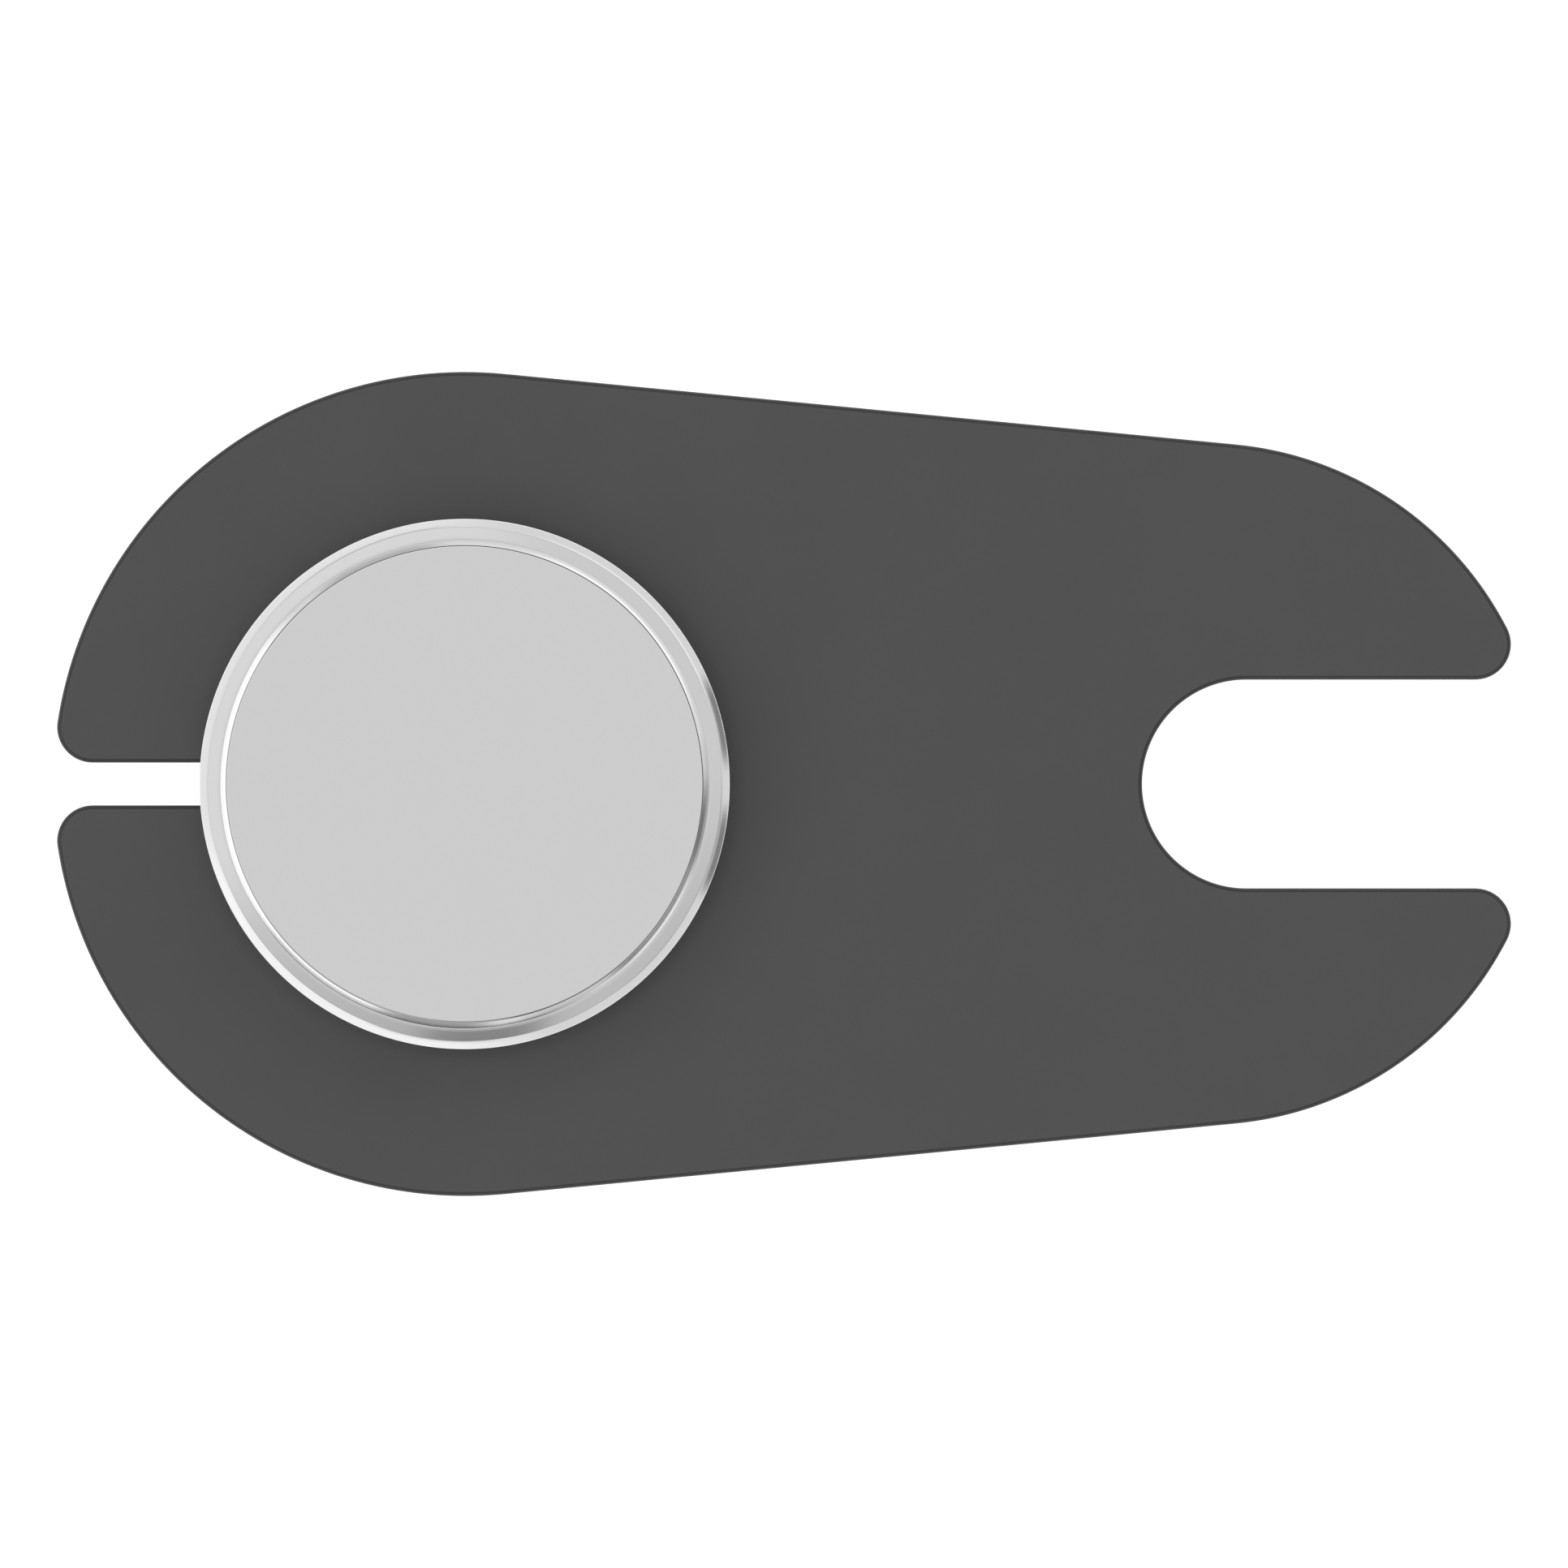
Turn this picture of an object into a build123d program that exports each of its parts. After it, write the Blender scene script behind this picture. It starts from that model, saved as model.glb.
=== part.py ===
"""Golf ball marker on its holder: a flat plate with a turf fork at one end and, at the other,
a split bore that grips a pot magnet. The marker disc sits on the magnet and lifts off.

Millimetres. +X runs along the plate towards the fork, +Z comes up out of the marker's face,
and the origin is the middle of the plate's underside, on the surface that it lies on."""

import os
from math import isclose, sqrt

from build123d import *

# Plate outline: two round ends joined by tangent edges, the larger one round the marker.
plate_thickness = 2.5
head_radius = 19.75
fork_end_radius = 16.35
end_spacing = 35.4  # marker axis to the centre of the fork end's arc
edge_round = 0.2  # deburred edge, top and bottom

# Turf fork: a round-rooted gap between two prongs.
fork_gap = 10.0
fork_root_spacing = 37.45  # marker axis to the centre of the gap's round root
tip_round = 1.7  # corners of the prongs, and of the slit's mouth

# Slit: opens the magnet's bore to the head's edge, so that the bore springs and grips.
slit_width = 2.05
slit_inner_round = 0.4

# Pot magnet: a steel cup with a flanged foot let into the plate's underside.
cup_diameter = 12.0
cup_wall = 0.8
cup_floor = 0.7
cup_set_back = 0.1  # foot above the surface that the plate lies on
cup_stands_proud = 0.3  # rim above the plate, where it centres the marker
cup_edge_round = 0.12
flange_diameter = 13.4
flange_thickness = 0.6
flange_clearance = 0.1
magnet_diameter = 10.0
magnet_thickness = 1.8
magnet_edge_round = 0.15
resin_under_magnet = 0.1
resin_below_magnet_face = 0.15

# Marker: a one-inch steel disc with a bevelled rim, round a raised face that is bonded in.
# The rim is cut away underneath, so that a fingernail lifts it.
marker_diameter = 25.4
rim_undercut = 1.3  # width and height
rim_foot_round = 0.15
rim_wall_height = 1.4  # undercut and the narrow upright band above it
rim_bevel_width = 0.39
rim_bevel_height = 0.34
rim_slope_height = 0.14  # shallow cone between the bevel and the face
recess_diameter = 12.8  # under the disc, over the cup's rim
recess_depth = 0.4
pocket_depth = 0.5  # seat of the face, below the rim's inner edge
pocket_clearance = 0.01
face_diameter = 23.4
face_bevel_width = 0.3
face_bevel_height = 0.21  # springs from the rim's inner edge
adhesive_diameter = 22.8
adhesive_thickness = 0.1


def end_reach(end_radius, half_opening):
    """How far a round end reaches past its centre, once the corners of its opening are rounded."""
    return tip_round + sqrt((end_radius - tip_round) ** 2 - (half_opening + tip_round) ** 2)


# Places along the plate, from the middle of its length.
head_reach = end_reach(head_radius, slit_width / 2)
fork_reach = end_spacing + end_reach(fork_end_radius, fork_gap / 2)
overall_length = head_reach + fork_reach
marker_x = (head_reach - fork_reach) / 2
fork_end_x = marker_x + end_spacing
fork_root_x = marker_x + fork_root_spacing

# Heights of the magnet's pieces.
cup_top = plate_thickness + cup_stands_proud
cavity_radius = cup_diameter / 2 - cup_wall
cavity_floor_z = cup_set_back + cup_floor
magnet_z = cavity_floor_z + resin_under_magnet
magnet_top = magnet_z + magnet_thickness

# Heights and radii of the marker, which rests on the plate.
rim_radius = marker_diameter / 2
rim_shoulder_z = plate_thickness + rim_wall_height
rim_bevel_top_z = rim_shoulder_z + rim_bevel_height
pocket_radius = face_diameter / 2 + pocket_clearance
pocket_rim_z = rim_bevel_top_z + rim_slope_height
pocket_floor_z = pocket_rim_z - pocket_depth
face_z = pocket_floor_z + adhesive_thickness
face_thickness = pocket_rim_z + face_bevel_height - face_z


def level(z):
    """The plane at height z, centred on the marker's axis."""
    return Plane((marker_x, 0, z))


def save(part, name):
    """Labels a finished sub-part and writes it as its own STEP file."""
    part.label = name
    export_step(part, f"parts/{name}.step")


os.makedirs("parts", exist_ok=True)
section = Plane.XZ.shift_origin((marker_x, 0, 0))  # X is a radius from the marker's axis, Y a height
marker_axis = Axis((marker_x, 0, 0), (0, 0, 1))

# Holder plate: the outline, the fork's gap, and the slit that runs into the magnet's bore.
with BuildPart() as tool_plate:
    with BuildSketch() as outline:
        with Locations((marker_x, 0)):
            Circle(head_radius)
        with Locations((fork_end_x, 0)):
            Circle(fork_end_radius)
        make_hull()
        with Locations((fork_root_x, 0)):
            Circle(fork_gap / 2, mode=Mode.SUBTRACT)
            Rectangle(overall_length, fork_gap, align=(Align.MIN, Align.CENTER), mode=Mode.SUBTRACT)
        with Locations((marker_x, 0)):
            Circle(cup_diameter / 2, mode=Mode.SUBTRACT)
            Rectangle(overall_length, slit_width, align=(Align.MAX, Align.CENTER), mode=Mode.SUBTRACT)
        corners = outline.vertices().group_by(Axis.X)
        fillet(corners[0] + corners[-1], tip_round)
        bore_arc = outline.edges().filter_by(GeomType.CIRCLE).filter_by(
            lambda edge: isclose(edge.radius, cup_diameter / 2)
        )
        fillet(bore_arc.vertices(), slit_inner_round)
    extrude(amount=plate_thickness)
    fillet(tool_plate.faces().filter_by(Axis.Z).edges(), edge_round)
    with BuildSketch(level(0)):
        Circle(flange_diameter / 2 + flange_clearance)
    extrude(amount=cup_set_back + flange_thickness, mode=Mode.SUBTRACT)
save(tool_plate.part, "tool_plate")

# Pot magnet's cup: a turned steel body with a flanged foot.
with BuildPart() as magnet_cup:
    with BuildSketch(level(cup_set_back)):
        Circle(flange_diameter / 2)
    extrude(amount=flange_thickness)
    fillet(magnet_cup.edges().sort_by(Axis.Z)[0], cup_edge_round)
    with BuildSketch(level(cup_set_back)):
        Circle(cup_diameter / 2)
    extrude(amount=cup_top - cup_set_back)
    with BuildSketch(level(cavity_floor_z)):
        Circle(cavity_radius)
    extrude(amount=cup_top - cavity_floor_z, mode=Mode.SUBTRACT)
    fillet(magnet_cup.edges().group_by(Axis.Z)[-1], cup_edge_round)
save(magnet_cup.part, "magnet_cup")

# Neodymium disc, set a little below the cup's rim.
with BuildPart() as magnet:
    with BuildSketch(level(magnet_z)):
        Circle(magnet_diameter / 2)
    extrude(amount=magnet_thickness)
    fillet(magnet.edges().filter_by(GeomType.CIRCLE), magnet_edge_round)
save(magnet.part, "magnet")

# Resin that pots the disc into the cup: a thin shell under and round it.
with BuildPart() as potting_resin:
    with BuildSketch(level(cavity_floor_z)):
        Circle(cavity_radius)
    extrude(amount=magnet_top - resin_below_magnet_face - cavity_floor_z)
    add(magnet.part, mode=Mode.SUBTRACT)
save(potting_resin.part, "potting_resin")

# Marker's steel disc: bevelled rim, a pocket for the face, and a recess over the cup's rim.
with BuildPart() as marker_disc:
    with BuildSketch(section):
        with BuildLine():
            Polyline(
                (0, plate_thickness + recess_depth),
                (recess_diameter / 2, plate_thickness + recess_depth),
                (recess_diameter / 2, plate_thickness),
                (rim_radius - rim_undercut, plate_thickness),
                (rim_radius, plate_thickness + rim_undercut),
                (rim_radius, rim_shoulder_z),
                (rim_radius - rim_bevel_width, rim_bevel_top_z),
                (pocket_radius, pocket_rim_z),
                (pocket_radius, pocket_floor_z),
                (0, pocket_floor_z),
                close=True,
            )
        make_face()
    revolve(axis=marker_axis)
    foot = marker_disc.edges().group_by(Axis.Z)[0].sort_by(SortBy.RADIUS)[-1]
    fillet(foot, rim_foot_round)
save(marker_disc.part, "marker_disc")

# Double-sided adhesive disc under the face.
with BuildPart() as adhesive_disc:
    with BuildSketch(level(pocket_floor_z)):
        Circle(adhesive_diameter / 2)
    extrude(amount=adhesive_thickness)
save(adhesive_disc.part, "adhesive_disc")

# Marker's face: a plain blank that stands proud of the rim, with a bevelled edge.
with BuildPart() as marker_face:
    with BuildSketch(level(face_z)):
        Circle(face_diameter / 2)
    extrude(amount=face_thickness)
    chamfer(marker_face.edges().group_by(Axis.Z)[-1], face_bevel_height, face_bevel_width)
save(marker_face.part, "marker_face")
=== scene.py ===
from math import acos, atan2, ceil, cos, hypot, pi, radians, sin, sqrt

import bmesh
import bpy
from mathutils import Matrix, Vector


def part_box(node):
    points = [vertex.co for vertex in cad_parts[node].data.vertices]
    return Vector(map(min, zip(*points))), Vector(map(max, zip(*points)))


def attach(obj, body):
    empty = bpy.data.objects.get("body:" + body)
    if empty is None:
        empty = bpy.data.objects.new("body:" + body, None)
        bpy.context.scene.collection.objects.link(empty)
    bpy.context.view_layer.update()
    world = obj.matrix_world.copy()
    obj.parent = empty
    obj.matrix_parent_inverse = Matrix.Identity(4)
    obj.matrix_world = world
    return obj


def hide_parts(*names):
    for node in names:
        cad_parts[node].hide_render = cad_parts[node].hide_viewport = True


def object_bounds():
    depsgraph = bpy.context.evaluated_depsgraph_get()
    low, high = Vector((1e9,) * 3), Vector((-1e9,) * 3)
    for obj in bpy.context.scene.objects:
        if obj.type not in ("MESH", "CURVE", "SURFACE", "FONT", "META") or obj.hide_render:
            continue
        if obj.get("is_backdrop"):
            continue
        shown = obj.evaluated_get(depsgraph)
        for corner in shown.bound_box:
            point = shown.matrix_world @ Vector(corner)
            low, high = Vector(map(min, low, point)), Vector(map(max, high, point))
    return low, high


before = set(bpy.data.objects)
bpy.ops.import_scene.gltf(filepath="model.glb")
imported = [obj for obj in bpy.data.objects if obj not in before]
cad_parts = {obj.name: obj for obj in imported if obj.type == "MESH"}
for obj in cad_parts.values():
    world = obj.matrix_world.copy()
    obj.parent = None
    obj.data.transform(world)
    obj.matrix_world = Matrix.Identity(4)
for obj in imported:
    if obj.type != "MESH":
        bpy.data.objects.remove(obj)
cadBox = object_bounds()
mm = 0.001
near = 1e-6  # points closer than this are one point
sharpAngle = radians(32)  # an edge that turns more than this shows as an edge
noiseLow, noiseHigh = 0.25, 0.75  # nearly all of a noise texture's values lie between these
print("frame loaded:", ", ".join(sorted(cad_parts)))

# Where the frame puts each piece
plateLow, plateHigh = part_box("tool_plate")
discLow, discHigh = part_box("marker_disc")
faceLow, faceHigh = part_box("marker_face")
filmLow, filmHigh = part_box("adhesive_disc")
cupLow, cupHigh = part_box("magnet_cup")
magnetLow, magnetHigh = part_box("magnet")
resinLow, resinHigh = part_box("potting_resin")
markerX = (discLow.x + discHigh.x) / 2


def radiusOf(node):
    # of a round node, from its box
    low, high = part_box(node)
    return (high.x - low.x) / 2


def linear(code):
    # an sRGB hex value as a linear colour
    parts = [int(code[i:i + 2], 16) / 255 for i in (1, 3, 5)]
    return [p / 12.92 if p <= 0.04045 else ((p + 0.055) / 1.055) ** 2.4 for p in parts] + [1.0]


def addNode(tree, kind, inputs={}, **settings):
    # one node, its settings, and what feeds each socket: another node's socket or a fixed value
    node = tree.nodes.new(kind)
    for name, value in settings.items():
        setattr(node, name, value)
    for socket, value in inputs.items():
        if isinstance(value, bpy.types.NodeSocket):
            tree.links.new(value, node.inputs[socket])
        else:
            node.inputs[socket].default_value = value
    return node


def newMaterial(name):
    # an empty material, its node tree, and the piece's own coordinates centred on the marker
    material = bpy.data.materials.new(name)
    material.use_nodes = True
    tree = material.node_tree
    tree.nodes.clear()
    place = addNode(tree, "ShaderNodeTexCoord").outputs["Object"]
    centred = addNode(tree, "ShaderNodeMapping", {"Vector": place, "Location": (-markerX, 0, 0)})
    return material, tree, centred.outputs["Vector"]


def bevelEdges(bm, edges, by, segments):
    bmesh.ops.bevel(
        bm, geom=edges, offset=by, offset_type="OFFSET", segments=segments, profile=0.5,
        affect="EDGES", material=-1, clamp_overlap=False, loop_slide=True,
    )


def turnProfile(points, steps):
    # a lathe: the chain of (radius, height) points goes once round the marker's axis
    bm = bmesh.new()
    chain = [bm.verts.new((markerX + radius, 0, height)) for radius, height in points]
    for start, end in zip(chain, chain[1:]):
        bm.edges.new((start, end))
    bmesh.ops.spin(
        bm, geom=bm.verts[:] + bm.edges[:], cent=(markerX, 0, 0), axis=(0, 0, 1), dvec=(0, 0, 0),
        angle=2 * pi, steps=steps, use_merge=True, use_duplicate=False,
    )
    bmesh.ops.remove_doubles(bm, verts=bm.verts, dist=near)
    return bm


def roundRing(bm, radius, height, by, segments):
    # rounds the edge that runs round the axis at this radius and height
    def onRing(vert):
        return (abs(hypot(vert.co.x - markerX, vert.co.y) - radius) < near
                and abs(vert.co.z - height) < near)
    ring = [e for e in bm.edges if onRing(e.verts[0]) and onRing(e.verts[1])]
    bevelEdges(bm, ring, by, segments)


def finishPiece(bm, name, material, body, node):
    # a finished bmesh becomes a piece that rides on its body and stands for its CAD node
    bmesh.ops.recalc_face_normals(bm, faces=bm.faces)
    for edge in bm.edges:
        edge.smooth = edge.calc_face_angle() < sharpAngle
    for face in bm.faces:
        face.smooth = True
    mesh = bpy.data.meshes.new(name)
    bm.to_mesh(mesh)
    bm.free()
    mesh.materials.append(material)
    piece = bpy.data.objects.new(name, mesh)
    bpy.context.scene.collection.objects.link(piece)
    normals = piece.modifiers.new("flatsStayFlat", "WEIGHTED_NORMAL")
    normals.mode = "FACE_AREA"
    normals.keep_sharp = True
    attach(piece, body)
    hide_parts(node)
    print("made", name, "with", len(mesh.polygons), "faces")


# A long lens straight above the middle of the plate
cameraView = {
    "lens": 900.0, "sensor": 36.0,  # mm
    "frameWidth": 75.13 * mm,  # seen from side to side, at the height of the plate's top
    "clipStart": 0.1, "clipEnd": 10.0,
}

cameraData = bpy.data.cameras.new("camera")
cameraData.lens = cameraView["lens"]
cameraData.sensor_width = cameraView["sensor"]
cameraData.clip_start = cameraView["clipStart"]
cameraData.clip_end = cameraView["clipEnd"]
cameraHeight = cameraView["frameWidth"] * cameraView["lens"] / cameraView["sensor"]
camera = bpy.data.objects.new("camera", cameraData)
camera.location = (plateLow + plateHigh) / 2
camera.location.z = plateHigh.z + cameraHeight
bpy.context.scene.collection.objects.link(camera)
bpy.context.scene.camera = camera
bpy.context.scene.view_settings.view_transform = "Standard"
print("camera", round(cameraHeight, 3), "m above the plate")

# The studio is a soft room. Its brightness goes from straight up (0) to level (90) and below
roomTones = [
    (0, 0.81), (32, 0.81), (38, 0.10), (57, 0.10), (60, 0.80), (66, 0.82), (72, 0.92), (77, 1.08),
    (79, 0.90), (180, 0.90),
]
# Soft boxes (add above 0) and flags (below 0): the way each faces, half its width and how far its
# sides fade, then its lowest and highest angle from straight up, all in degrees
lightBoxes = [
    # overhead
    {"turn": 150, "half": 70, "soft": 30, "top": 17, "foot": 35, "adds": 0.12},
    {"turn": 247, "half": 40, "soft": 22, "top": 17, "foot": 35, "adds": -0.15},
    {"turn": 300, "half": 40, "soft": 56, "top": 17, "foot": 35, "adds": -0.13},
    {"turn": 273, "half": 11, "soft": 14, "top": 17, "foot": 35, "adds": -0.22},
    # high on the left wall
    {"turn": 197, "half": 50, "soft": 10, "top": 38, "foot": 59, "adds": 0.36},
    # on the left and lower left walls
    {"turn": 178, "half": 36, "soft": 16, "top": 64, "foot": 75, "adds": 0.42},
    {"turn": 224, "half": 24, "soft": 14, "top": 72, "foot": 79, "adds": 0.50},
    {"turn": 248, "half": 42, "soft": 14, "top": 62, "foot": 66, "adds": -0.74},
    # on the near wall
    {"turn": 263, "half": 16, "soft": 10, "top": 38, "foot": 59, "adds": 0.44},
    {"turn": 262, "half": 11, "soft": 12, "top": 66, "foot": 78, "adds": -0.50},
    {"turn": 299, "half": 14, "soft": 10, "top": 60, "foot": 78, "adds": -0.20},
    # on the right wall
    {"turn": 317, "half": 16, "soft": 10, "top": 60, "foot": 67, "adds": 0.32},
    {"turn": 334, "half": 24, "soft": 14, "top": 68, "foot": 78, "adds": -0.56},
    {"turn": 350, "half": 10, "soft": 8, "top": 60, "foot": 68, "adds": -0.22},
    {"turn": 356, "half": 13, "soft": 10, "top": 60, "foot": 78, "adds": -0.14},
    # on the far wall
    {"turn": 112, "half": 13, "soft": 12, "top": 67, "foot": 78, "adds": -0.28},
    {"turn": 115, "half": 20, "soft": 12, "top": 73, "foot": 78, "adds": -0.28},
    {"turn": 48, "half": 24, "soft": 14, "top": 66, "foot": 78, "adds": 0.10},
    {"turn": 46, "half": 24, "soft": 14, "top": 71, "foot": 79, "adds": 0.30},
    # low, near the floor
    {"turn": 14, "half": 8, "soft": 8, "top": 80, "foot": 90, "adds": -0.62},
    {"turn": 345, "half": 8, "soft": 8, "top": 80, "foot": 90, "adds": -0.62},
    {"turn": 150, "half": 60, "soft": 24, "top": 80, "foot": 90, "adds": 0.15},
    {"turn": 238, "half": 38, "soft": 32, "top": 80, "foot": 90, "adds": 0.33},
]
boxFeather = 2  # degrees over which a box's top and foot fade, either way

world = bpy.data.worlds.new("studio")
bpy.context.scene.world = world
world.use_nodes = True
room = world.node_tree
room.nodes.clear()
heading = addNode(room, "ShaderNodeTexCoord").outputs["Generated"]
rise = addNode(room, "ShaderNodeSeparateXYZ", {0: heading}).outputs["Z"]
fromUp = addNode(room, "ShaderNodeMath", {0: rise}, operation="ARCCOSINE").outputs[0]
level = addNode(room, "ShaderNodeVectorMath", {0: heading, 1: (1, 1, 0)}, operation="MULTIPLY")
compass = addNode(room, "ShaderNodeVectorMath", {0: level.outputs[0]}, operation="NORMALIZE")
share = addNode(room, "ShaderNodeMath", {0: fromUp, 1: pi}, operation="DIVIDE")
tones = addNode(room, "ShaderNodeValToRGB", {0: share.outputs[0]})
tones.color_ramp.interpolation = "EASE"
while len(tones.color_ramp.elements) < len(roomTones):
    tones.color_ramp.elements.new(0.5)
for stop, (angle, tone) in zip(tones.color_ramp.elements, roomTones):
    stop.position = angle / 180
    stop.color = (tone, tone, tone, 1)
glow = tones.outputs["Color"]
for box in lightBoxes:
    aim = (cos(radians(box["turn"])), sin(radians(box["turn"])), 0)
    facing = addNode(room, "ShaderNodeVectorMath", {
        0: compass.outputs[0], 1: aim,
    }, operation="DOT_PRODUCT")
    across = addNode(room, "ShaderNodeMapRange", {
        "Value": facing.outputs["Value"],
        "From Min": cos(radians(box["half"] + box["soft"] / 2)),
        "From Max": cos(radians(box["half"] - box["soft"] / 2)),
    }, interpolation_type="SMOOTHSTEP")
    below = addNode(room, "ShaderNodeMapRange", {
        "Value": fromUp,
        "From Min": radians(box["top"] - boxFeather),
        "From Max": radians(box["top"] + boxFeather),
    }, interpolation_type="SMOOTHSTEP")
    above = addNode(room, "ShaderNodeMapRange", {
        "Value": fromUp,
        "From Min": radians(box["foot"] - boxFeather),
        "From Max": radians(box["foot"] + boxFeather),
        "To Min": box["adds"],
        "To Max": 0.0,
    }, interpolation_type="SMOOTHSTEP")
    patch = addNode(room, "ShaderNodeMath", {
        0: across.outputs[0], 1: below.outputs[0],
    }, operation="MULTIPLY")
    patch = addNode(room, "ShaderNodeMath", {
        0: patch.outputs[0], 1: above.outputs[0],
    }, operation="MULTIPLY")
    glow = addNode(room, "ShaderNodeVectorMath", {
        0: glow, 1: patch.outputs[0],
    }, operation="ADD").outputs[0]
# where flags overlap, the room is black at the darkest
glow = addNode(room, "ShaderNodeVectorMath", {0: glow, 1: (0, 0, 0)}, operation="MAXIMUM")
background = addNode(room, "ShaderNodeBackground", {"Color": glow.outputs[0], "Strength": 1.0})
addNode(room, "ShaderNodeOutputWorld", {"Surface": background.outputs[0]})

# White paper sweep, lit from behind so that it stays plain white
floorLook = {"reach": 4.0, "colour": "#E8E8E8", "glow": 0.86, "below": 0.02 * mm}

paper = bpy.data.materials.new("white_paper")
paper.use_nodes = True
paper.node_tree.nodes.clear()
matt = addNode(paper.node_tree, "ShaderNodeBsdfPrincipled", {
    "Base Color": linear(floorLook["colour"]), "Roughness": 1.0, "Specular IOR Level": 0.0,
    "Emission Color": (1, 1, 1, 1), "Emission Strength": floorLook["glow"],
})
addNode(paper.node_tree, "ShaderNodeOutputMaterial", {"Surface": matt.outputs[0]})
bm = bmesh.new()
bmesh.ops.create_grid(bm, x_segments=1, y_segments=1, size=floorLook["reach"])
bmesh.ops.translate(bm, verts=bm.verts, vec=(0, 0, plateLow.z - floorLook["below"]))
floorMesh = bpy.data.meshes.new("floor")
bm.to_mesh(floorMesh)
bm.free()
floorMesh.materials.append(paper)
floor = bpy.data.objects.new("floor", floorMesh)
bpy.context.scene.collection.objects.link(floor)
floor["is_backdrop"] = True
print("studio ready")

# Hard-anodised aluminium, blasted with glass bead before the bath: a dense dark grey oxide that
# scatters light evenly, like slate, with a faint sparkle from its dimples. A thin band on the
# rounded edge next to each face is painted darker: painted shade.
plateFinish = {
    "dark": "#656565", "light": "#6B6B6B", "cloudSize": 6 * mm,
    "dimpleSize": 0.25 * mm,  # real ones are about 0.08 mm, drawn coarser so that they show
    "dimpleDepth": 0.004 * mm, "smooth": 0.54, "rough": 0.64, "shine": 0.15, "ior": 1.5,
    "paintedEdgeShade": 0.45, "edgeStart": 0.0005 * mm, "edgeFull": 0.004 * mm,
    "edgeEnd": 0.045 * mm, "edgeGone": 0.09 * mm,
}


def hardAnodised():
    s = plateFinish
    material, tree, place = newMaterial("hard_anodised_aluminium")
    clouds = addNode(tree, "ShaderNodeTexNoise", {
        "Vector": place, "Scale": 1 / s["cloudSize"], "Detail": 4.0, "Roughness": 0.55,
    })
    tint = addNode(tree, "ShaderNodeMix", {
        "Factor": clouds.outputs["Fac"], "A": linear(s["dark"]), "B": linear(s["light"]),
    }, data_type="RGBA")
    # how far below the upper face, or above the lower one, a point lies
    height = addNode(tree, "ShaderNodeSeparateXYZ", {0: place}).outputs["Z"]
    middle = (plateLow.z + plateHigh.z) / 2
    fromMiddle = addNode(tree, "ShaderNodeMath", {0: height, 1: middle}, operation="SUBTRACT")
    fromMiddle = addNode(tree, "ShaderNodeMath", {0: fromMiddle.outputs[0]}, operation="ABSOLUTE")
    depth = addNode(tree, "ShaderNodeMath", {
        0: plateHigh.z - middle, 1: fromMiddle.outputs[0],
    }, operation="SUBTRACT").outputs[0]
    # painted shade: the colour is darkened in a thin band on the rounded edge just inside each face
    starts = addNode(tree, "ShaderNodeMapRange", {
        "Value": depth, "From Min": s["edgeStart"], "From Max": s["edgeFull"], "To Max": s["paintedEdgeShade"],
    })
    ends = addNode(tree, "ShaderNodeMapRange", {
        "Value": depth, "From Min": s["edgeEnd"], "From Max": s["edgeGone"],
        "To Min": 1.0, "To Max": 0.0,
    })
    paintedShade = addNode(tree, "ShaderNodeMath", {
        0: starts.outputs[0], 1: ends.outputs[0],
    }, operation="MULTIPLY")
    left = addNode(tree, "ShaderNodeMath", {0: 1.0, 1: paintedShade.outputs[0]}, operation="SUBTRACT")
    colour = addNode(tree, "ShaderNodeVectorMath", {
        0: tint.outputs["Result"], 1: left.outputs[0],
    }, operation="MULTIPLY")
    dimples = addNode(tree, "ShaderNodeTexNoise", {
        "Vector": place, "Scale": 1 / s["dimpleSize"], "Detail": 1.0, "Roughness": 0.5,
    })
    gloss = addNode(tree, "ShaderNodeMapRange", {
        "Value": dimples.outputs["Fac"], "From Min": noiseLow, "From Max": noiseHigh,
        "To Min": s["smooth"], "To Max": s["rough"],
    })
    bump = addNode(tree, "ShaderNodeBump", {
        "Height": dimples.outputs["Fac"], "Distance": s["dimpleDepth"], "Strength": 1.0,
    })
    shader = addNode(tree, "ShaderNodeBsdfPrincipled", {
        "Base Color": colour.outputs[0], "Metallic": 0.0, "IOR": s["ior"],
        "Specular IOR Level": s["shine"], "Roughness": gloss.outputs[0],
        "Normal": bump.outputs["Normal"],
    })
    addNode(tree, "ShaderNodeOutputMaterial", {"Surface": shader.outputs[0]})
    return material


# The plate: one outline of tangent lines and arcs, with the fork's gap at one end and the slit
# into the magnet's bore at the other
plateShape = {
    "headRadius": 19.75 * mm, "forkEndRadius": 16.35 * mm, "endSpacing": 35.4 * mm,
    "edgeRound": 0.2 * mm, "edgeSegments": 6,
    "forkGap": 10.0 * mm, "forkRootSpacing": 37.45 * mm, "tipRound": 1.7 * mm,
    "slit": 2.05 * mm, "slitInnerRound": 0.4 * mm,
    "cupWall": 0.8 * mm, "seatRadius": 6.8 * mm, "seatDepth": 0.7 * mm,  # the cup's bore and seat
    "stepAngle": radians(1.5), "fewestSteps": 12,
}


def lineTo(bm, tip, x, y):
    # draws a straight edge from the outline's open end
    end = bmesh.ops.extrude_vert_indiv(bm, verts=[tip])["verts"][0]
    end.co.x, end.co.y = x, y
    return end


def arcAbout(bm, tip, x, y, turn):
    # carries the outline's open end round a centre, anticlockwise where turn is positive
    steps = max(plateShape["fewestSteps"], ceil(abs(turn) / plateShape["stepAngle"]))
    swept = bmesh.ops.spin(
        bm, geom=[tip], cent=(x, y, 0), axis=(0, 0, 1), dvec=(0, 0, 0), angle=turn, steps=steps,
        use_merge=False, use_duplicate=False,
    )
    return swept["geom_last"][0]


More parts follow.
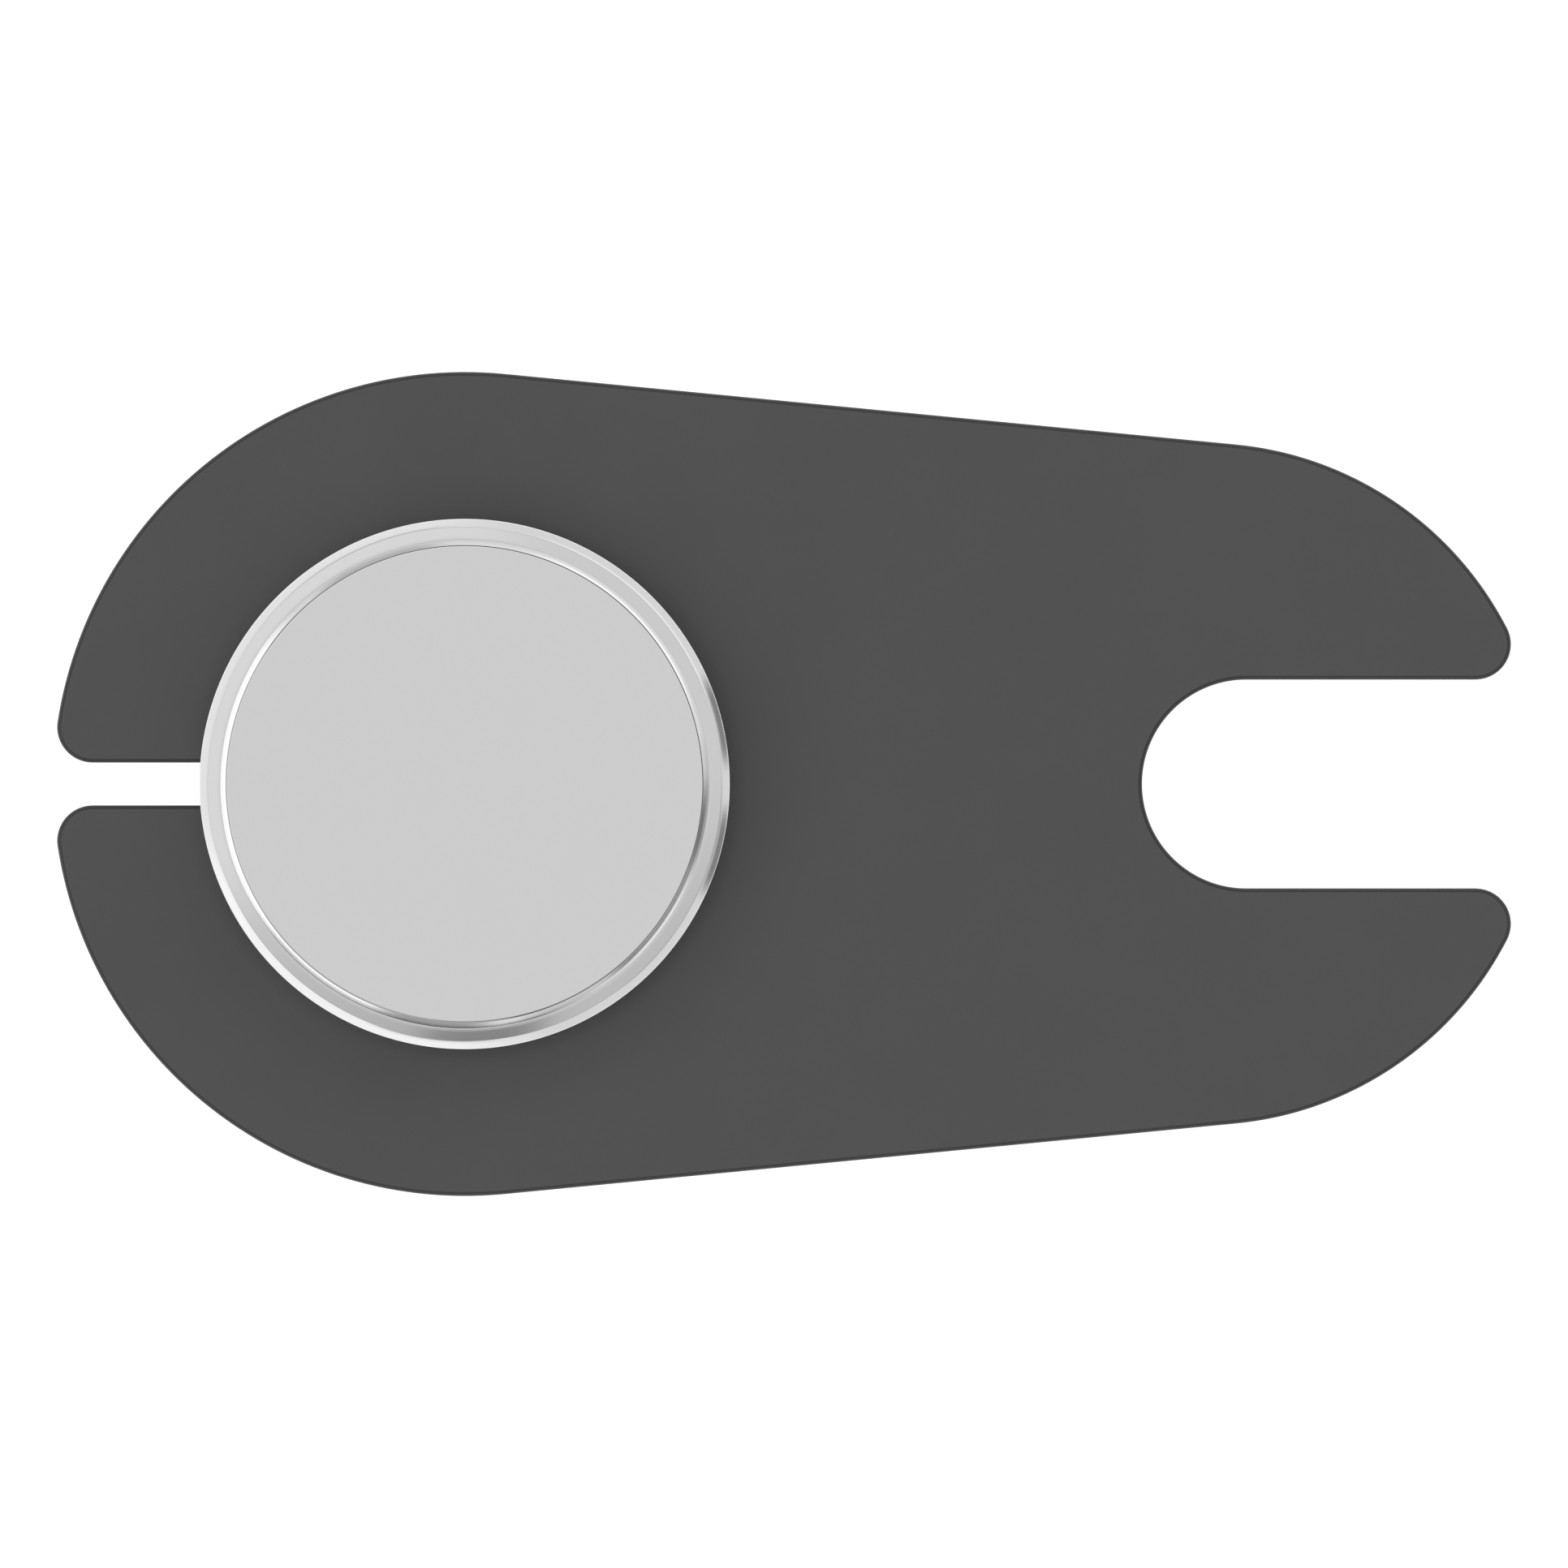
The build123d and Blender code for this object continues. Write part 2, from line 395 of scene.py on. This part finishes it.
def halfSlab(bore, low, high):
    # one side of the plate between two heights, from its bore to the fork's root
    s = plateShape
    corner = s["tipRound"]
    halfSlit, halfGap = s["slit"] / 2, s["forkGap"] / 2
    forkX = markerX + s["endSpacing"]
    rootX = markerX + s["forkRootSpacing"]
    boreY, mouthY, tipY = halfSlit + s["slitInnerRound"], halfSlit + corner, halfGap + corner
    boreX, seatX = (sqrt((r + s["slitInnerRound"]) ** 2 - boreY ** 2) for r in (bore, s["seatRadius"]))
    mouthX = sqrt((s["headRadius"] - corner) ** 2 - mouthY ** 2)
    tipX = sqrt((s["forkEndRadius"] - corner) ** 2 - tipY ** 2)
    boreAngle, mouthAngle, tipAngle = atan2(boreY, boreX), atan2(mouthY, mouthX), atan2(tipY, tipX)
    sideAngle = acos((s["headRadius"] - s["forkEndRadius"]) / s["endSpacing"])

    bm = bmesh.new()
    first = bm.verts.new((markerX + bore, 0, 0))
    tip = arcAbout(bm, first, markerX, 0, pi - boreAngle)
    tip = arcAbout(bm, tip, markerX - boreX, boreY, boreAngle - pi / 2)
    if bore < s["seatRadius"]:
        tip = lineTo(bm, tip, markerX - seatX, halfSlit)
    tip = lineTo(bm, tip, markerX - mouthX, halfSlit)
    tip = arcAbout(bm, tip, markerX - mouthX, mouthY, -(pi / 2 + mouthAngle))
    tip = arcAbout(bm, tip, markerX, 0, -(pi - mouthAngle - sideAngle))
    sideX = forkX + s["forkEndRadius"] * cos(sideAngle)
    tip = lineTo(bm, tip, sideX, s["forkEndRadius"] * sin(sideAngle))
    tip = arcAbout(bm, tip, forkX, 0, -(sideAngle - tipAngle))
    tip = arcAbout(bm, tip, forkX + tipX, tipY, -(pi / 2 + tipAngle))
    tip = lineTo(bm, tip, rootX, halfGap)
    tip = arcAbout(bm, tip, rootX, 0, pi / 2)
    bm.edges.new((tip, first))
    outline = bmesh.ops.contextual_create(bm, geom=bm.edges[:])["faces"]
    raised = bmesh.ops.extrude_face_region(bm, geom=outline, use_keep_orig=True)["geom"]
    upper = [g for g in raised if isinstance(g, bmesh.types.BMVert)]
    bmesh.ops.translate(bm, verts=bm.verts, vec=(0, 0, low))
    bmesh.ops.translate(bm, verts=upper, vec=(0, 0, high - low))
    return bm


def makePlate():
    s = plateShape
    seatTop = plateLow.z + s["seatDepth"]

    def lies(item, axis, place):
        return all(abs(v.co[axis] - place) < near for v in item.verts)
    bm = halfSlab(s["seatRadius"], plateLow.z, seatTop)
    upper = halfSlab(radiusOf("potting_resin") + s["cupWall"], seatTop, plateHigh.z)
    upperMesh = bpy.data.meshes.new("upper_slab")
    upper.to_mesh(upperMesh)
    upper.free()
    bm.from_mesh(upperMesh)
    bpy.data.meshes.remove(upperMesh)
    # the two slabs become one, and the half becomes the whole
    inside = [f for f in bm.faces if lies(f, 2, seatTop) or lies(f, 1, 0)]
    bmesh.ops.delete(bm, geom=inside, context="FACES")
    bmesh.ops.remove_doubles(bm, verts=bm.verts, dist=near)
    bmesh.ops.mirror(bm, geom=bm.verts[:] + bm.edges[:] + bm.faces[:], merge_dist=near, axis="Y")
    bmesh.ops.remove_doubles(bm, verts=bm.verts, dist=near)
    bmesh.ops.delete(bm, geom=[e for e in bm.edges if not e.link_faces], context="EDGES")
    # the open loop left between the slabs is the seat's ledge
    bmesh.ops.contextual_create(bm, geom=[e for e in bm.edges if e.is_boundary])
    levelEdges = [e for e in bm.edges if lies(e, 2, plateLow.z) or lies(e, 2, plateHigh.z)]
    seams = [e for e in levelEdges if lies(e, 1, 0)]
    bmesh.ops.dissolve_edges(bm, edges=seams, use_verts=False)
    bmesh.ops.recalc_face_normals(bm, faces=bm.faces)
    rims = [e for e in bm.edges if lies(e, 2, plateLow.z) or lies(e, 2, plateHigh.z)]
    bevelEdges(bm, rims, s["edgeRound"], s["edgeSegments"])
    finishPiece(bm, "plate", hardAnodised(), "holder", "tool_plate")


makePlate()

# Nickel-plated steel: turned on a lathe and plated bright, so it mirrors the room, a little
# softened, and fine rings from the tool show where light grazes it
rimFinish = {
    "dark": "#DBDBDB", "light": "#E0E0E0", "cloudSize": 4 * mm, "smooth": 0.07, "rough": 0.10,
    "ringSpacing": 0.1 * mm,  # real ones are about 0.05 mm, drawn coarser so that they show
    "ringWaver": 0.4, "wanderSize": 0.6 * mm, "relief": 0.0003 * mm,
}
ringsPerUnit = 20 / (2 * pi)  # how many rings the wave texture draws in one unit at a scale of 1


def nickelPlatedSteel():
    s = rimFinish
    material, tree, place = newMaterial("nickel_plated_steel")
    clouds = addNode(tree, "ShaderNodeTexNoise", {
        "Vector": place, "Scale": 1 / s["cloudSize"], "Detail": 3.0, "Roughness": 0.55,
    }).outputs["Fac"]
    tint = addNode(tree, "ShaderNodeMix", {
        "Factor": clouds, "A": linear(s["dark"]), "B": linear(s["light"]),
    }, data_type="RGBA")
    gloss = addNode(tree, "ShaderNodeMapRange", {
        "Value": clouds, "From Min": noiseLow, "From Max": noiseHigh,
        "To Min": s["smooth"], "To Max": s["rough"],
    })
    rings = addNode(tree, "ShaderNodeTexWave", {
        "Vector": place, "Scale": 1 / (s["ringSpacing"] * ringsPerUnit), "Distortion": s["ringWaver"],
        "Detail": 1.0,
    }, wave_type="RINGS", rings_direction="Z")
    wander = addNode(tree, "ShaderNodeTexNoise", {
        "Vector": place, "Scale": 1 / s["wanderSize"], "Detail": 2.0, "Roughness": 0.5,
    })
    relief = addNode(tree, "ShaderNodeMath", {
        0: rings.outputs["Fac"], 1: wander.outputs["Fac"],
    }, operation="ADD")
    bump = addNode(tree, "ShaderNodeBump", {
        "Height": relief.outputs[0], "Distance": s["relief"], "Strength": 1.0,
    })
    shader = addNode(tree, "ShaderNodeBsdfPrincipled", {
        "Base Color": tint.outputs["Result"], "Metallic": 1.0, "Roughness": gloss.outputs[0],
        "Normal": bump.outputs["Normal"],
    })
    addNode(tree, "ShaderNodeOutputMaterial", {"Surface": shader.outputs[0]})
    return material


# The marker's disc, turned: recess underneath, undercut rim, bevel, shallow cone, and the pocket
# that its face is let into
discShape = {
    "recessRadius": 6.4 * mm, "recessDepth": 0.4 * mm,
    "undercut": 1.3 * mm,  # a fingernail goes under here
    "shoulder": 1.4 * mm, "bevelWidth": 0.39 * mm, "bevelHeight": 0.34 * mm,
    "slopeHeight": 0.14 * mm, "pocketDepth": 0.5 * mm, "pocketGap": 0.002 * mm,
    "footRound": 0.1 * mm, "shoulderRound": 0.012 * mm, "breakEdge": 0.006 * mm, "segments": 4,
    "steps": 192,
}


def makeDisc():
    s = discShape
    rim = radiusOf("marker_disc")
    pocket = radiusOf("marker_face") + s["pocketGap"]
    base = discLow.z
    foot = rim - s["undercut"]
    undercutTop = base + s["undercut"]
    shoulder = base + s["shoulder"]
    bevelTop = shoulder + s["bevelHeight"]
    lip = bevelTop + s["slopeHeight"]
    roof = base + s["recessDepth"]
    pocketFloor = lip - s["pocketDepth"]
    bm = turnProfile([
        (0, roof), (s["recessRadius"], roof), (s["recessRadius"], base), (foot, base),
        (rim, undercutTop), (rim, shoulder), (rim - s["bevelWidth"], bevelTop), (pocket, lip),
        (pocket, pocketFloor), (0, pocketFloor),
    ], s["steps"])
    roundRing(bm, s["recessRadius"], base, s["footRound"], s["segments"])
    roundRing(bm, foot, base, s["footRound"], s["segments"])
    roundRing(bm, rim, undercutTop, s["shoulderRound"], s["segments"])
    roundRing(bm, rim, shoulder, s["shoulderRound"], s["segments"])
    roundRing(bm, rim - s["bevelWidth"], bevelTop, s["breakEdge"], s["segments"])
    roundRing(bm, pocket, lip, s["breakEdge"], s["segments"])
    finishPiece(bm, "marker_rim", nickelPlatedSteel(), "marker", "marker_disc")


makeDisc()

# Satin aluminium: lapped and lightly blasted, an even silver with no image in it, while its
# bevelled edge is cut bright afterwards
faceFinish = {
    "dark": "#E1E1E1", "light": "#E3E3E3", "cloudSize": 3 * mm,
    "grainSize": 0.2 * mm,  # real grit marks are about 0.05 mm, drawn coarser so that they show
    "grainDepth": 0.0006 * mm, "smooth": 0.20, "rough": 0.25,
    "brightCut": 0.08, "cutStart": 0.001 * mm, "cutFull": 0.005 * mm,  # depths below the flat
}


def satinAluminium():
    s = faceFinish
    material, tree, place = newMaterial("satin_aluminium")
    clouds = addNode(tree, "ShaderNodeTexNoise", {
        "Vector": place, "Scale": 1 / s["cloudSize"], "Detail": 3.0, "Roughness": 0.55,
    }).outputs["Fac"]
    tint = addNode(tree, "ShaderNodeMix", {
        "Factor": clouds, "A": linear(s["dark"]), "B": linear(s["light"]),
    }, data_type="RGBA")
    satin = addNode(tree, "ShaderNodeMapRange", {
        "Value": clouds, "From Min": noiseLow, "From Max": noiseHigh,
        "To Min": s["smooth"], "To Max": s["rough"],
    })
    height = addNode(tree, "ShaderNodeSeparateXYZ", {0: place}).outputs["Z"]
    flat = addNode(tree, "ShaderNodeMapRange", {
        "Value": height, "From Min": faceHigh.z - s["cutFull"], "From Max": faceHigh.z - s["cutStart"],
    })
    gloss = addNode(tree, "ShaderNodeMix", {
        "Factor": flat.outputs[0], "A": s["brightCut"], "B": satin.outputs[0],
    })
    grain = addNode(tree, "ShaderNodeTexNoise", {
        "Vector": place, "Scale": 1 / s["grainSize"], "Detail": 2.0, "Roughness": 0.5,
    })
    bump = addNode(tree, "ShaderNodeBump", {
        "Height": grain.outputs["Fac"], "Distance": s["grainDepth"], "Strength": 1.0,
    })
    shader = addNode(tree, "ShaderNodeBsdfPrincipled", {
        "Base Color": tint.outputs["Result"], "Metallic": 1.0, "Roughness": gloss.outputs["Result"],
        "Normal": bump.outputs["Normal"],
    })
    addNode(tree, "ShaderNodeOutputMaterial", {"Surface": shader.outputs[0]})
    return material


# The face: its edge is coved, which starts at one slope and grows steeper up to the crest
faceShape = {
    "coveWidth": 0.30 * mm, "coveHeight": 0.21 * mm, "coveStart": 0.60, "coveSegments": 3,
    "crestRound": 0.06 * mm, "crestSegments": 8, "steps": 192,
}


def makeFace():
    s = faceShape
    edge = radiusOf("marker_face")
    foot = faceHigh.z - s["coveHeight"]
    straightRise = s["coveStart"] * s["coveWidth"]
    cove = []
    for i in range(s["coveSegments"] + 1):
        share = i / s["coveSegments"]
        rise = straightRise * share + (s["coveHeight"] - straightRise) * share ** 2
        cove.append((edge - s["coveWidth"] * share, foot + rise))
    bm = turnProfile([(0, faceLow.z), (edge, faceLow.z)] + cove + [(0, faceHigh.z)], s["steps"])
    roundRing(bm, edge - s["coveWidth"], faceHigh.z, s["crestRound"], s["crestSegments"])
    finishPiece(bm, "marker_insert", satinAluminium(), "marker", "marker_face")


makeFace()

# Double-sided acrylic film: milky and slightly soft, with air trapped here and there
filmFinish = {
    "clear": "#C9C6BE", "milky": "#D6D3CB", "patchSize": 1.2 * mm,
    "bubbleSize": 0.4 * mm, "bubbleHeight": 0.004 * mm, "roughness": 0.5, "ior": 1.47,
}


def acrylicFilm():
    s = filmFinish
    material, tree, place = newMaterial("acrylic_film")
    patches = addNode(tree, "ShaderNodeTexNoise", {
        "Vector": place, "Scale": 1 / s["patchSize"], "Detail": 2.0, "Roughness": 0.5,
    })
    tint = addNode(tree, "ShaderNodeMix", {
        "Factor": patches.outputs["Fac"], "A": linear(s["clear"]), "B": linear(s["milky"]),
    }, data_type="RGBA")
    bubbles = addNode(tree, "ShaderNodeTexVoronoi", {"Vector": place, "Scale": 1 / s["bubbleSize"]})
    bump = addNode(tree, "ShaderNodeBump", {
        "Height": bubbles.outputs["Distance"], "Distance": s["bubbleHeight"], "Strength": 1.0,
    })
    shader = addNode(tree, "ShaderNodeBsdfPrincipled", {
        "Base Color": tint.outputs["Result"], "Metallic": 0.0, "Roughness": s["roughness"],
        "IOR": s["ior"], "Normal": bump.outputs["Normal"],
    })
    addNode(tree, "ShaderNodeOutputMaterial", {"Surface": shader.outputs[0]})
    return material


filmShape = {"edgeRound": 0.02 * mm, "segments": 2, "steps": 96}


def makeFilm():
    s = filmShape
    edge = radiusOf("adhesive_disc")
    bm = turnProfile([
        (0, filmLow.z), (edge, filmLow.z), (edge, filmHigh.z), (0, filmHigh.z),
    ], s["steps"])
    roundRing(bm, edge, filmHigh.z, s["edgeRound"], s["segments"])
    finishPiece(bm, "adhesive_film", acrylicFilm(), "marker", "adhesive_disc")


makeFilm()

# Zinc-plated steel: turned, then plated dull bright, a cool grey with the lathe's rings left in it
cupFinish = {
    "dark": "#BDBCB8", "light": "#CDCCC8", "cloudSize": 1.5 * mm, "smooth": 0.24, "rough": 0.36,
    "ringSpacing": 0.15 * mm,  # real ones are about 0.08 mm, drawn coarser so that they show
    "ringWaver": 0.6, "relief": 0.0012 * mm,
}


def zincPlatedSteel():
    s = cupFinish
    material, tree, place = newMaterial("zinc_plated_steel")
    clouds = addNode(tree, "ShaderNodeTexNoise", {
        "Vector": place, "Scale": 1 / s["cloudSize"], "Detail": 4.0, "Roughness": 0.6,
    }).outputs["Fac"]
    tint = addNode(tree, "ShaderNodeMix", {
        "Factor": clouds, "A": linear(s["dark"]), "B": linear(s["light"]),
    }, data_type="RGBA")
    gloss = addNode(tree, "ShaderNodeMapRange", {
        "Value": clouds, "From Min": noiseLow, "From Max": noiseHigh,
        "To Min": s["smooth"], "To Max": s["rough"],
    })
    rings = addNode(tree, "ShaderNodeTexWave", {
        "Vector": place, "Scale": 1 / (s["ringSpacing"] * ringsPerUnit), "Distortion": s["ringWaver"],
        "Detail": 1.0,
    }, wave_type="RINGS", rings_direction="Z")
    bump = addNode(tree, "ShaderNodeBump", {
        "Height": rings.outputs["Fac"], "Distance": s["relief"], "Strength": 1.0,
    })
    shader = addNode(tree, "ShaderNodeBsdfPrincipled", {
        "Base Color": tint.outputs["Result"], "Metallic": 1.0, "Roughness": gloss.outputs[0],
        "Normal": bump.outputs["Normal"],
    })
    addNode(tree, "ShaderNodeOutputMaterial", {"Surface": shader.outputs[0]})
    return material


# The pot magnet's cup: a turned body with a flanged foot
cupShape = {
    "footThickness": 0.6 * mm, "floor": 0.7 * mm, "edgeRound": 0.12 * mm, "segments": 4, "steps": 128,
}


def makeCup():
    s = cupShape
    foot = radiusOf("magnet_cup")
    cavity = radiusOf("potting_resin")
    body = cavity + plateShape["cupWall"]
    shelf = cupLow.z + s["footThickness"]
    inside = cupLow.z + s["floor"]
    bm = turnProfile([
        (0, cupLow.z), (foot, cupLow.z), (foot, shelf), (body, shelf), (body, cupHigh.z),
        (cavity, cupHigh.z), (cavity, inside), (0, inside),
    ], s["steps"])
    for radius, height in [(foot, cupLow.z), (body, cupHigh.z), (cavity, cupHigh.z)]:
        roundRing(bm, radius, height, s["edgeRound"], s["segments"])
    finishPiece(bm, "cup", zincPlatedSteel(), "holder", "magnet_cup")


makeCup()

# Nickel-plated magnet: bright plating over pressed powder, warm grey, with a slight orange peel
magnetFinish = {
    "dark": "#CBC7BF", "light": "#D6D3CC", "cloudSize": 2 * mm, "smooth": 0.10, "rough": 0.18,
    "peelSize": 0.3 * mm, "peelDepth": 0.0015 * mm,
}


def nickelPlatedMagnet():
    s = magnetFinish
    material, tree, place = newMaterial("nickel_plated_neodymium")
    clouds = addNode(tree, "ShaderNodeTexNoise", {
        "Vector": place, "Scale": 1 / s["cloudSize"], "Detail": 3.0, "Roughness": 0.55,
    }).outputs["Fac"]
    tint = addNode(tree, "ShaderNodeMix", {
        "Factor": clouds, "A": linear(s["dark"]), "B": linear(s["light"]),
    }, data_type="RGBA")
    gloss = addNode(tree, "ShaderNodeMapRange", {
        "Value": clouds, "From Min": noiseLow, "From Max": noiseHigh,
        "To Min": s["smooth"], "To Max": s["rough"],
    })
    peel = addNode(tree, "ShaderNodeTexNoise", {
        "Vector": place, "Scale": 1 / s["peelSize"], "Detail": 1.0, "Roughness": 0.5,
    })
    bump = addNode(tree, "ShaderNodeBump", {
        "Height": peel.outputs["Fac"], "Distance": s["peelDepth"], "Strength": 1.0,
    })
    shader = addNode(tree, "ShaderNodeBsdfPrincipled", {
        "Base Color": tint.outputs["Result"], "Metallic": 1.0, "Roughness": gloss.outputs[0],
        "Normal": bump.outputs["Normal"],
    })
    addNode(tree, "ShaderNodeOutputMaterial", {"Surface": shader.outputs[0]})
    return material


magnetShape = {"edgeRound": 0.15 * mm, "segments": 4, "steps": 128}


def makeMagnet():
    s = magnetShape
    edge = radiusOf("magnet")
    bm = turnProfile([
        (0, magnetLow.z), (edge, magnetLow.z), (edge, magnetHigh.z), (0, magnetHigh.z),
    ], s["steps"])
    for height in (magnetLow.z, magnetHigh.z):
        roundRing(bm, edge, height, s["edgeRound"], s["segments"])
    finishPiece(bm, "neodymium_disc", nickelPlatedMagnet(), "holder", "magnet")


makeMagnet()

# Black epoxy, poured and cured in place: glossy, with the odd pinhole and a slow ripple
resinFinish = {
    "dark": "#0E0E0F", "light": "#17171A", "patchSize": 1.0 * mm, "smooth": 0.12, "rough": 0.22,
    "pinholeSpacing": 0.5 * mm, "pinholeDepth": 0.01 * mm, "pinholeReach": 0.18, "ior": 1.55,
}


def blackEpoxy():
    s = resinFinish
    material, tree, place = newMaterial("black_epoxy")
    patches = addNode(tree, "ShaderNodeTexNoise", {
        "Vector": place, "Scale": 1 / s["patchSize"], "Detail": 2.0, "Roughness": 0.5,
    }).outputs["Fac"]
    tint = addNode(tree, "ShaderNodeMix", {
        "Factor": patches, "A": linear(s["dark"]), "B": linear(s["light"]),
    }, data_type="RGBA")
    gloss = addNode(tree, "ShaderNodeMapRange", {
        "Value": patches, "From Min": noiseLow, "From Max": noiseHigh,
        "To Min": s["smooth"], "To Max": s["rough"],
    })
    cells = addNode(tree, "ShaderNodeTexVoronoi", {
        "Vector": place, "Scale": 1 / s["pinholeSpacing"],
    })
    pinholes = addNode(tree, "ShaderNodeMapRange", {
        "Value": cells.outputs["Distance"], "From Max": s["pinholeReach"],
    })
    bump = addNode(tree, "ShaderNodeBump", {
        "Height": pinholes.outputs[0], "Distance": s["pinholeDepth"], "Strength": 1.0,
    })
    shader = addNode(tree, "ShaderNodeBsdfPrincipled", {
        "Base Color": tint.outputs["Result"], "Metallic": 0.0, "Roughness": gloss.outputs[0],
        "IOR": s["ior"], "Normal": bump.outputs["Normal"],
    })
    addNode(tree, "ShaderNodeOutputMaterial", {"Surface": shader.outputs[0]})
    return material


resinShape = {"dip": 0.06 * mm, "dipRound": 0.05 * mm, "segments": 3, "steps": 128}


def makeResin():
    # a shell under and round the magnet, whose upper rim sags between the two walls it wets
    s = resinShape
    outer = radiusOf("potting_resin")
    inner = radiusOf("magnet")
    middle = (outer + inner) / 2
    sag = resinHigh.z - s["dip"]
    bm = turnProfile([
        (0, resinLow.z), (outer, resinLow.z), (outer, resinHigh.z), (middle, sag),
        (inner, resinHigh.z), (inner, magnetLow.z), (0, magnetLow.z),
    ], s["steps"])
    roundRing(bm, middle, sag, s["dipRound"], s["segments"])
    finishPiece(bm, "resin", blackEpoxy(), "holder", "potting_resin")


makeResin()

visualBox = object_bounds()
changes = [(b - a) / mm for pair in zip(cadBox, visualBox) for a, b in zip(*pair)]
print("box changed by", [round(change, 3) for change in changes], "mm")
